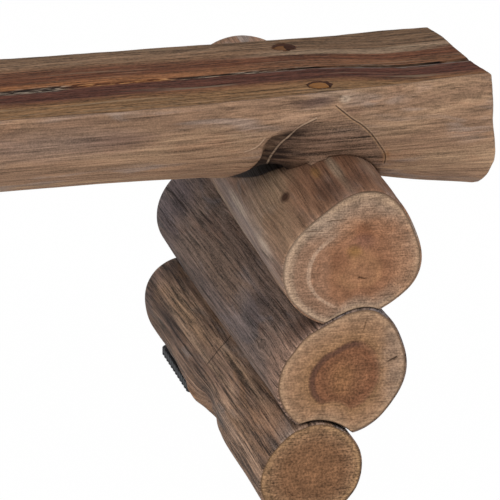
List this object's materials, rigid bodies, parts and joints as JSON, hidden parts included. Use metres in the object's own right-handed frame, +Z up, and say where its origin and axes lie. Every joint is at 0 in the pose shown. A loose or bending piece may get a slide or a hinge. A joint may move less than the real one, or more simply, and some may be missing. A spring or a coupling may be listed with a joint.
{
  "type": "rustic log bench",
  "caption": "Backless rustic bench: a half-log seat with a sawn flat top, saddle-notched on to stacks of coped cross logs that stand on ribbed rubber pads.",
  "frame": {"origin": "on the floor, under the middle of the bench's bounding box", "axes": "+X along the seat towards its thick butt end, +Y across the seat towards the back, +Z up"},
  "size_m": [1.8, 0.53, 0.446],
  "materials": {
    "seat_wood": "weathered, oiled",
    "log_wood": "debarked, weathered",
    "plug_wood": "turned, oiled",
    "zinc_plated_steel": "bright zinc plate",
    "black_rubber": "ribbed, matt"
  },
  "bodies": {
    "root": {"seat_log": "seat_wood", "right_top_log": "log_wood", "right_middle_log": "log_wood", "right_bottom_log": "log_wood", "right_front_plug": "plug_wood", "right_front_seat_screw": "zinc_plated_steel", "right_front_seat_washer": "zinc_plated_steel", "right_front_stack_screw": "zinc_plated_steel", "right_front_stack_washer": "zinc_plated_steel", "right_front_pad": "black_rubber", "right_front_pad_nails": "zinc_plated_steel", "right_back_plug": "plug_wood", "right_back_seat_screw": "zinc_plated_steel", "right_back_seat_washer": "zinc_plated_steel", "right_back_stack_screw": "zinc_plated_steel", "right_back_stack_washer": "zinc_plated_steel", "right_back_pad": "black_rubber", "right_back_pad_nails": "zinc_plated_steel", "left_top_log": "log_wood", "left_middle_log": "log_wood", "left_bottom_log": "log_wood", "left_front_plug": "plug_wood", "left_front_seat_screw": "zinc_plated_steel", "left_front_seat_washer": "zinc_plated_steel", "left_front_stack_screw": "zinc_plated_steel", "left_front_stack_washer": "zinc_plated_steel", "left_front_pad": "black_rubber", "left_front_pad_nails": "zinc_plated_steel", "left_back_plug": "plug_wood", "left_back_seat_screw": "zinc_plated_steel", "left_back_seat_washer": "zinc_plated_steel", "left_back_stack_screw": "zinc_plated_steel", "left_back_stack_washer": "zinc_plated_steel", "left_back_pad": "black_rubber", "left_back_pad_nails": "zinc_plated_steel"}
  },
  "joints": []
}
